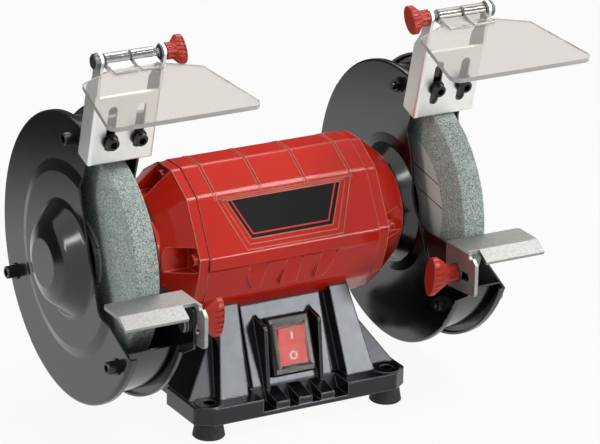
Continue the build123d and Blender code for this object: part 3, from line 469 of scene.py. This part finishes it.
def mitred(path, loop=False):
    """Sideways vectors of a flat path, lengthened at its corners so that a bar keeps its width round them:
    the sum of the two unit normals that meet there, over 1 + their dot product."""
    step = np.roll(path, -1, axis=0) - path
    step /= np.linalg.norm(step, axis=1, keepdims=True)
    if not loop:
        step[-1] = step[-2]
    side = np.stack([-step[:, 1], step[:, 0], 0 * step[:, 0]], axis=1)
    before = np.roll(side, 1, axis=0)
    if not loop:
        before[0] = side[0]
    return (side + before) / (1 + np.sum(side * before, axis=1, keepdims=True))


def together(parts):
    """One mesh from several, with the face numbers of each moved past the points before it."""
    starts = np.cumsum([0] + [len(points) for points, _ in parts])
    faces = [block + start for start, (_, blocks) in zip(starts, parts) for block in blocks]
    return np.concatenate([points for points, _ in parts]), faces


def rounded(corners, loop=False):
    """Stations (y, z) of a line with rounded corners, and their outward normals: each corner (y, z, radius)
    becomes an arc between its two tangent points."""
    stations, normals = [], []
    flat = np.array(corners, dtype=float)
    if loop:
        flat = np.concatenate([flat[-1:], flat, flat[:1]])
    for before, (y, z, radius), after in zip(flat[:-2], flat[1:-1], flat[2:]):
        corner = np.array([y, z])
        back, on = before[:2] - corner, after[:2] - corner
        back, on = back / np.linalg.norm(back), on / np.linalg.norm(on)
        half = math.acos(np.clip(back @ on, -1, 1)) / 2
        middle = corner + (back + on) / np.linalg.norm(back + on) * radius / math.sin(half)
        arc = np.linspace(0, 1, CORNER_POINTS)[:, None]
        spoke = (corner + back * radius / math.tan(half) - middle) * (1 - arc) + (
            corner + on * radius / math.tan(half) - middle) * arc
        spoke /= np.linalg.norm(spoke, axis=1, keepdims=True)
        stations.append(middle + spoke * radius)
        normals.append(spoke)
    if loop:
        return np.concatenate(stations), np.concatenate(normals)
    first, last = normals[0][:1], normals[-1][-1:]
    return (np.concatenate([flat[:1, :2], *stations, flat[-1:, :2]]), np.concatenate([first, *normals, last]))


def on_rocker(flat):
    """Points (x, v, w) over the rocker's two faces: w is lifted by the slope of the faces, and v and w are
    turned with the rocker about its pivot."""
    flat = np.array(flat, dtype=float)
    flat[:, 2] += ROCKER_FACE[0] + np.abs(flat[:, 1]) * ROCKER_FACE[1]
    t = math.radians(ROCKER_TILT)
    deep = flat[:, 2] + ROCKER_PIVOT
    turned = np.stack([flat[:, 0], flat[:, 1] * math.cos(t) - deep * math.sin(t),
                       flat[:, 1] * math.sin(t) + deep * math.cos(t) - ROCKER_PIVOT], axis=1)
    return leaning(turned, SWITCH_LEAN, (0.0, *SWITCH_AT))


def grained_wheel(node, deep, seed):
    """Surface of revolution with pitted grain. The profile runs up one side, over the rim and down the other;
    point = (x, r cos a, r sin a) moved inwards by depth * random squared, except under the paper labels."""
    low, high = (np.array(corner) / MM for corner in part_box(node))
    radius = (high[2] - low[2]) / 2
    rise = np.concatenate([[WHEEL_BORE, FLANGE_R, LABEL_R],
                           np.linspace(LABEL_R + GRAIN_START, radius - RIM_SOFT, RINGS)])
    over = np.linspace(low[0] + RIM_SOFT, high[0] - RIM_SOFT, ACROSS)
    x = np.concatenate([np.full(len(rise), low[0]), over, np.full(len(rise), high[0])])
    r = np.concatenate([rise, np.full(len(over), radius), rise[::-1]])
    inward_x = np.concatenate([np.ones(len(rise)), np.zeros(len(over)), -np.ones(len(rise))])
    inward_r = (inward_x == 0) * 1.0
    free = np.clip((r - LABEL_R) / GRAIN_FADE, 0, 1)
    angle = np.arange(TURNS)[:, None] * 2 * math.pi / TURNS
    pits = np.random.default_rng(seed).random((TURNS, len(x))) ** 2 * deep * free
    wide = r - inward_r * pits
    grid = np.stack([x + inward_x * pits, wide * np.cos(angle), SHAFT_HIGH + wide * np.sin(angle)], axis=-1)
    return grid.reshape(-1, 3), [grid_faces(TURNS, len(x), loop=True)]


def leaning(flat, lean, origin):
    """Points (x, v, w) of a leaning face set in the part's frame: v runs up the face and w out of it.
    Point = origin + x * across + v * up + w * out."""
    a = math.radians(lean)
    up = np.array([0.0, math.sin(a), math.cos(a)])
    out = np.array([0.0, -math.cos(a), math.sin(a)])
    flat = np.asarray(flat, dtype=float)
    across = np.array([1.0, 0.0, 0.0])
    return np.asarray(origin) + flat[:, :1] * across + flat[:, 1:2] * up + flat[:, 2:3] * out


def mirrored(corners):
    """The same corners on the other side of the shaft."""
    return [(-y, z, r) for y, z, r in corners]


def colours():
    """The panel's colours."""
    return bpy.context.scene.grinder_colours


def size(name):
    """One of the panel's sizes, in millimetres."""
    return getattr(bpy.context.scene.grinder_sizes, name) / MM


class GRINDER_OT_motor(bpy.types.Operator):
    """Enamels the motor housing and end caps, and finishes the blank name plate"""
    bl_idname = "grinder.motor"
    bl_label = "Motor"

    def execute(self, context):
        red = gloss_enamel(colours().enamel, "gloss enamel on die-cast aluminium")
        dress(red, "motor_housing", "end_cap_right", "end_cap_left")
        dress(gloss_enamel(shade(colours().enamel, 0.7), "enamelled bolt"), "tie_bolts")
        dress(moulded_plastic(tint("#0B0A0A"), "lacquered foil", (0.5, 0.56), 0.0, 0.15), "name_plate")
        return {"FINISHED"}


class GRINDER_OT_plate_line(bpy.types.Operator):
    """Prints the thin red line that follows three edges of the name plate"""
    bl_idname = "grinder.plate_line"
    bl_label = "Plate line"

    def execute(self, context):
        low, high, low_half, high_half = PLATE_FACE
        side = np.array([high_half - low_half, high - low])
        side = side / np.linalg.norm(side)
        inset = size("line_inset") + size("line_wide") / 2
        foot = low + inset
        reach = low_half + (foot - low) * side[0] / side[1] - inset / side[1]
        top = reach + (high - foot) * side[0] / side[1]
        flat = np.array([(-top, high, 0), (-reach, foot, 0), (reach, foot, 0), (top, high, 0)], dtype=float)
        points, faces = sweep(flat, mitred(flat), (0.0, 0.0, 1.0), bar_section(size("line_wide"), LINE_HIGH))
        a = math.radians(PLATE_LEAN)
        origin = (0, -math.cos(a) * PLATE_OUT, SHAFT_HIGH + math.sin(a) * PLATE_OUT)
        red = moulded_plastic(shade(colours().enamel, 1.05), "red screen print", (0.3, 0.4))
        piece("plate_line", leaning(points, PLATE_LEAN, origin), faces, red, "machine", "red_enamel")
        return {"FINISHED"}


class GRINDER_OT_beads(bpy.types.Operator):
    """Lays the rolled enamel edges round the name plate, beside the motor's lines and along its caps"""
    bl_idname = "grinder.beads"
    bl_label = "Enamel edges"

    def execute(self, context):
        # The beads are painted in the paler edge red as highlight, and the enamel pales further along their
        # edges
        red = gloss_enamel(colours().edge, "enamel edges with painted highlight")
        section = bead_section(size("bead_wide"), size("bead_high"))
        for name, parts in (("surround_edges", self.surround(section)), ("line_edges", self.lines(section)),
                            ("cap_edges", self.caps(section))):
            piece(name, *together(parts), red, "machine", "red_enamel", smooth=True)
        return {"FINISHED"}

    def surround(self, section):
        """Beads on the three steps round the plate, the innermost all round and the others open on top."""
        low, high, low_half, high_half = PLATE_FACE
        a = math.radians(PLATE_LEAN)
        parts = []
        for level in range(3):
            grow = SURROUND_STEP * level
            foot = (low_half + grow * STEP_FOOT, low - grow)
            top = (high_half + grow * STEP_SIDE, high + grow * STEP_RISE)
            flat = np.array([(-top[0], top[1], 0), (-foot[0], foot[1], 0), (*foot, 0), (*top, 0)])
            points, faces = sweep(flat, mitred(flat, level == 0), (0, 0, 1), section, level == 0)
            reach = FACET_R - SURROUND_DEEP * (2 - level)
            origin = (0, -math.cos(a) * reach, SHAFT_HIGH + math.sin(a) * reach)
            parts.append((leaning(points, PLATE_LEAN, origin), faces))
        return parts

    def lines(self, section):
        """Two beads beside each of the four lines over the top of the motor."""
        line, out = rounded([LINE_BACK, MOTOR_TOP[0]] + mirrored(MOTOR_TOP)[:2] + [LINE_FRONT])
        away = (LINE_WIDE + size("bead_wide")) / 2
        return [self.hoop(x + side * away, line, out, section) for x in LINE_AT for side in (-1, 1)]

    def caps(self, section):
        """A bead round the turn of each end cap."""
        ring = [(y * CAP_SCALE, z * CAP_SCALE, r * CAP_SCALE) for y, z, r in MOTOR_TOP + MOTOR_LOW]
        line, out = rounded(ring + mirrored(ring)[::-1], loop=True)
        return [self.hoop(x, line, out, section, loop=True) for x in (-CAP_TURN, CAP_TURN)]

    def hoop(self, x, line, out, section, loop=False):
        """A bead along a line (y, z) round the shaft at one station x."""
        path = np.column_stack([np.full(len(line), x), line + (0, SHAFT_HIGH)])
        return sweep(path, (1, 0, 0), np.column_stack([np.zeros(len(out)), out]), section, loop)


class GRINDER_OT_base(bpy.types.Operator):
    """Finishes the cast base, its underside plate, feet, gland and capacitor"""
    bl_idname = "grinder.base"
    bl_label = "Base"

    def execute(self, context):
        dress(cast_enamel(colours().casting, "thick enamel on die-cast aluminium"), "base_casting")
        dress(zinc_plate(shade(colours().zinc, 0.6), "galvanised steel sheet"), "base_plate")
        dress(turned_steel(tint("#8E9092"), "zinc-plated screw steel"),
              "base_plate_screws", "guard_mount_screws", "wheel_nuts")
        dress(soft_rubber("moulded rubber"), "rubber_feet")
        dress(moulded_plastic(tint("#1B1B1C"), "nylon", (0.45, 0.6)), "cable_gland", "capacitor")
        return {"FINISHED"}


class GRINDER_OT_switch(bpy.types.Operator):
    """Finishes the switch and prints a bar and a ring on its rocker"""
    bl_idname = "grinder.switch"
    bl_label = "Switch"

    def execute(self, context):
        dress(moulded_plastic(tint("#1D1816"), "glass-filled nylon", (0.3, 0.45)), "switch_body")
        dress(moulded_plastic(tint("#D62016"), "red polycarbonate", (0.42, 0.5), 0.0, 0.25), "switch_rocker")
        lean = math.radians(SWITCH_LEAN)
        face = (0.0, -math.cos(lean), math.sin(lean))
        hood = clear_plastic(tint("#F4F1EE"), "clear soft vinyl", face, (0.05, 0.12), 1.12, 0.02)
        dress(hood, "switch_hood")
        white = moulded_plastic(tint("#E9E4DF"), "white pad print", (0.35, 0.45))
        up = np.array([0.0, 0.0, 1.0])
        bar = np.array([(0.0, v, 0.0) for v in BAR_ENDS])
        points, faces = sweep(bar, (1.0, 0.0, 0.0), up, bar_section(BAR_WIDE, MARK_HIGH))
        piece("mark_on", on_rocker(points), faces, white, "rocker", "rocker_red")
        a = np.linspace(0, 2 * math.pi, RING_POINTS, endpoint=False)
        round_ = np.stack([np.cos(a), np.sin(a), 0 * a], axis=1)
        points, faces = sweep(round_ * RING_R + (0.0, RING_AT, 0.0), round_, up,
                              bar_section(RING_WIDE, MARK_HIGH), loop=True)
        piece("mark_off", on_rocker(points), faces, white, "rocker", "rocker_red")
        return {"FINISHED"}


class GRINDER_OT_guards(bpy.types.Operator):
    """Enamels the wheel guards and finishes their screws"""
    bl_idname = "grinder.guards"
    bl_label = "Guards"

    def execute(self, context):
        dress(stove_enamel(colours().guard, "stoved enamel on pressed steel"),
              "guard_body_right", "guard_body_left", "guard_cover_right", "guard_cover_left")
        dress(turned_steel(tint("#45433F"), "black oxide steel", (0.26, 0.38)),
              "cover_screws", "cover_nuts", "spark_screws")
        dress(turned_steel(tint("#A9ABAC"), "turned mild steel"), "guard_spacers", "wheel_flanges")
        return {"FINISHED"}


class GRINDER_OT_wheels(bpy.types.Operator):
    """Builds the grained grinding wheels and prints their paper labels"""
    bl_idname = "grinder.wheels"
    bl_label = "Wheels"

    def execute(self, context):
        grit = vitrified_grit(colours().grit, "vitrified silicon carbide grit")
        for seed, node in enumerate(("wheel_right", "wheel_left")):
            points, faces = grained_wheel(node, size("grain_deep"), seed)
            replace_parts(piece("grained_" + node, points, faces, grit, "rotor", "grit"), node)
        dress(printed_paper("blotter paper"), "wheel_labels")
        return {"FINISHED"}


class GRINDER_OT_brackets(bpy.types.Operator):
    """Plates the spark guard brackets, the tool rests and their bolts"""
    bl_idname = "grinder.brackets"
    bl_label = "Brackets and rests"

    def execute(self, context):
        dress(zinc_plate(colours().zinc, "bright zinc-plated steel sheet"),
              "bracket_right", "bracket_left")
        dress(zinc_plate(shade(colours().zinc, 0.5), "dull zinc-plated steel sheet", 1.4, 0.55, (0.42, 0.6)),
              "tool_rest_right", "tool_rest_left")
        dress(rolled_thread(tint("#77787A"), "rolled thread steel"),
              "hinge_bolt_right", "hinge_bolt_left", "rest_bolts")
        return {"FINISHED"}


class GRINDER_OT_shields(bpy.types.Operator):
    """Makes the eye shields clear and moulds the red clamping knobs"""
    bl_idname = "grinder.shields"
    bl_label = "Shields and knobs"

    def execute(self, context):
        lean = math.radians(SHIELD_DROOP)
        flat = (0.0, -math.sin(lean), math.cos(lean))
        dress(clear_plastic(colours().clear, "clear polycarbonate", flat), "shield_right", "shield_left")
        dress(moulded_plastic(colours().knob, "moulded red nylon", (0.28, 0.4), 0.05, 0.35),
              "shield_knob_right", "shield_knob_left", "rest_knob_right", "rest_knob_left")
        return {"FINISHED"}


class GRINDER_OT_inside(bpy.types.Operator):
    """Finishes the shaft, bearings, rotor and stator inside the motor"""
    bl_idname = "grinder.inside"
    bl_label = "Inner pieces"

    def execute(self, context):
        dress(turned_steel(tint("#B9BBBE"), "ground shaft steel", (0.15, 0.25)), "shaft")
        dress(turned_steel(tint("#C6C8CB"), "hardened bearing steel", (0.08, 0.18)),
              "bearing_outer", "bearing_inner")
        dress(turned_steel(tint("#5D6066"), "stacked silicon steel", (0.45, 0.6)),
              "stator_core", "rotor_core")
        dress(turned_steel(tint("#B5622F"), "enamelled copper wire", (0.25, 0.4)), "stator_windings")
        return {"FINISHED"}


class GRINDER_OT_stage(bpy.types.Operator):
    """Sets the pale floor, the white world, the dark card, the soft boxes and the camera"""
    bl_idname = "grinder.stage"
    bl_label = "Stage"

    def execute(self, context):
        scene = context.scene
        scene.view_settings.view_transform = "Standard"
        self.floor(scene)
        self.sky(scene)
        self.card(scene)
        for name, lamp in LAMPS.items():
            self.lamp(scene, name, *lamp)
        self.camera(scene)
        return {"FINISHED"}

    def seen(self, tree):
        """1 for camera, glossy and transmission rays, so that metal and glass show the background too."""
        path = put(tree, "ShaderNodeLightPath")
        most = path.outputs["Is Camera Ray"]
        for ray in ("Is Glossy Ray", "Is Transmission Ray"):
            most = put(tree, "ShaderNodeMath", operation="MAXIMUM", i0=most, i1=path.outputs[ray]).outputs[0]
        return most

    def sheet(self, scene, name, corners, made):
        """A flat stage piece between four corners."""
        mesh = bpy.data.meshes.new(name)
        mesh.from_pydata(corners, [], [(0, 1, 2, 3)])
        mesh.materials.append(made)
        thing = bpy.data.objects.new(name, mesh)
        scene.collection.objects.link(thing)
        return thing

    def floor(self, scene):
        """Pale floor that is nearly white to those rays, keeps the machine's shadow and lights it as dull
        grey."""
        made, tree, place = material("pale studio floor")
        part = put(tree, "ShaderNodeMath", operation="MULTIPLY", i0=self.seen(tree), i1=FLOOR_WHITE)
        dull = put(tree, "ShaderNodeBsdfDiffuse",
                   Color=mottle(tree, place, 400, tint("#CBCBCB"), tint("#CECECE")))
        glow = put(tree, "ShaderNodeEmission", Color=tint("#FFFFFF"), Strength=1.0)
        close(tree, put(tree, "ShaderNodeMixShader",
                        i0=part.outputs[0], i1=dull.outputs[0], i2=glow.outputs[0]))
        self.sheet(scene, "floor", FLOOR, made)

    def sky(self, scene):
        """World that is white to those rays and lights the machine by the fill."""
        world = bpy.data.worlds.new("studio")
        world.use_nodes = True
        tree = world.node_tree
        tree.nodes.clear()
        level = put(tree, "ShaderNodeMix", Factor=self.seen(tree), i2=WORLD_FILL, i3=1.0)
        glow = put(tree, "ShaderNodeBackground", Color=tint("#FFFFFF"), Strength=level.outputs[0])
        put(tree, "ShaderNodeOutputWorld", Surface=glow.outputs[0])
        scene.world = world

    def card(self, scene):
        """Dark card that rises behind the machine and is seen in gloss alone, so that black enamel shows its
        shape. It fades in towards the back, and sooner on the left."""
        made, tree, place = material("dark studio card")
        deep = put(tree, "ShaderNodeVectorMath", operation="DOT_PRODUCT", i0=place, i1=CARD_ACROSS)
        weave = put(tree, "ShaderNodeMapRange", interpolation_type="SMOOTHSTEP", Value=deep.outputs["Value"],
                    i1=CARD_FADE[0], i2=CARD_FADE[1])
        cloth = put(tree, "ShaderNodeBsdfDiffuse",
                    Color=mottle(tree, place, 300, tint("#555555"), tint("#5D5D5D")))
        gauze = put(tree, "ShaderNodeBsdfTransparent", Color=tint("#FFFFFF"))
        close(tree, put(tree, "ShaderNodeMixShader",
                        i0=weave.outputs[0], i1=gauze.outputs[0], i2=cloth.outputs[0]))
        thing = self.sheet(scene, "dark_card", CARD, made)
        thing.visible_camera = thing.visible_diffuse = False
        thing.visible_transmission = thing.visible_shadow = False

    def lamp(self, scene, name, at, to, wide, high, watts):
        """A soft box that faces its aim."""
        data = bpy.data.lights.new(name, "AREA")
        data.shape = "RECTANGLE"
        data.size, data.size_y = wide, high
        data.energy = watts
        thing = bpy.data.objects.new(name, data)
        thing.location = at
        thing.rotation_euler = (Vector(to) - Vector(at)).to_track_quat("-Z", "Y").to_euler()
        scene.collection.objects.link(thing)

    def camera(self, scene):
        """Camera fitted to the photograph: long lens from the front left, looking down 21 degrees."""
        data = bpy.data.cameras.new("camera")
        data.sensor_fit, data.sensor_width, data.lens = "HORIZONTAL", CAMERA_SENSOR, CAMERA_LENS
        data.clip_start, data.clip_end = CAMERA_CLIP
        yaw, pitch, roll = (math.radians(angle) for angle in CAMERA_TURN)
        right = Vector((math.cos(yaw), -math.sin(yaw), 0))
        ahead = Vector((math.sin(yaw) * math.cos(pitch), math.cos(yaw) * math.cos(pitch), -math.sin(pitch)))
        down = ahead.cross(right)
        x = right * math.cos(roll) + down * math.sin(roll)
        y = right * math.sin(roll) - down * math.cos(roll)
        thing = bpy.data.objects.new("camera", data)
        turn = Matrix((x, y, -ahead)).transposed().to_4x4()
        thing.matrix_world = Matrix.Translation(CAMERA_AT) @ turn
        scene.collection.objects.link(thing)
        scene.camera = thing


class GRINDER_PT_panel(bpy.types.Panel):
    """Colours, sizes and steps of the grinder"""
    bl_label = "Bench grinder"
    bl_idname = "GRINDER_PT_panel"
    bl_space_type = "VIEW_3D"
    bl_region_type = "UI"
    bl_category = "Grinder"

    def draw(self, context):
        for group in (context.scene.grinder_colours, context.scene.grinder_sizes):
            for name in group.__annotations__:
                self.layout.prop(group, name)
        for step in STEPS:
            self.layout.operator(step.bl_idname)


STEPS = (GRINDER_OT_stage, GRINDER_OT_motor, GRINDER_OT_beads, GRINDER_OT_plate_line, GRINDER_OT_base,
         GRINDER_OT_switch, GRINDER_OT_guards, GRINDER_OT_wheels, GRINDER_OT_brackets, GRINDER_OT_shields,
         GRINDER_OT_inside)
CLASSES = (GrinderColours, GrinderSizes, *STEPS, GRINDER_PT_panel)


def register():
    for cls in CLASSES:
        bpy.utils.register_class(cls)
    bpy.types.Scene.grinder_colours = PointerProperty(type=GrinderColours)
    bpy.types.Scene.grinder_sizes = PointerProperty(type=GrinderSizes)


def unregister():
    del bpy.types.Scene.grinder_sizes
    del bpy.types.Scene.grinder_colours
    for cls in reversed(CLASSES):
        bpy.utils.unregister_class(cls)


def main():
    register()
    bpy.ops.grinder.stage()
    bpy.ops.grinder.motor()
    bpy.ops.grinder.beads()
    bpy.ops.grinder.plate_line()
    bpy.ops.grinder.base()
    bpy.ops.grinder.switch()
    bpy.ops.grinder.guards()
    bpy.ops.grinder.wheels()
    bpy.ops.grinder.brackets()
    bpy.ops.grinder.shields()
    bpy.ops.grinder.inside()


if __name__ == "__main__":
    main()
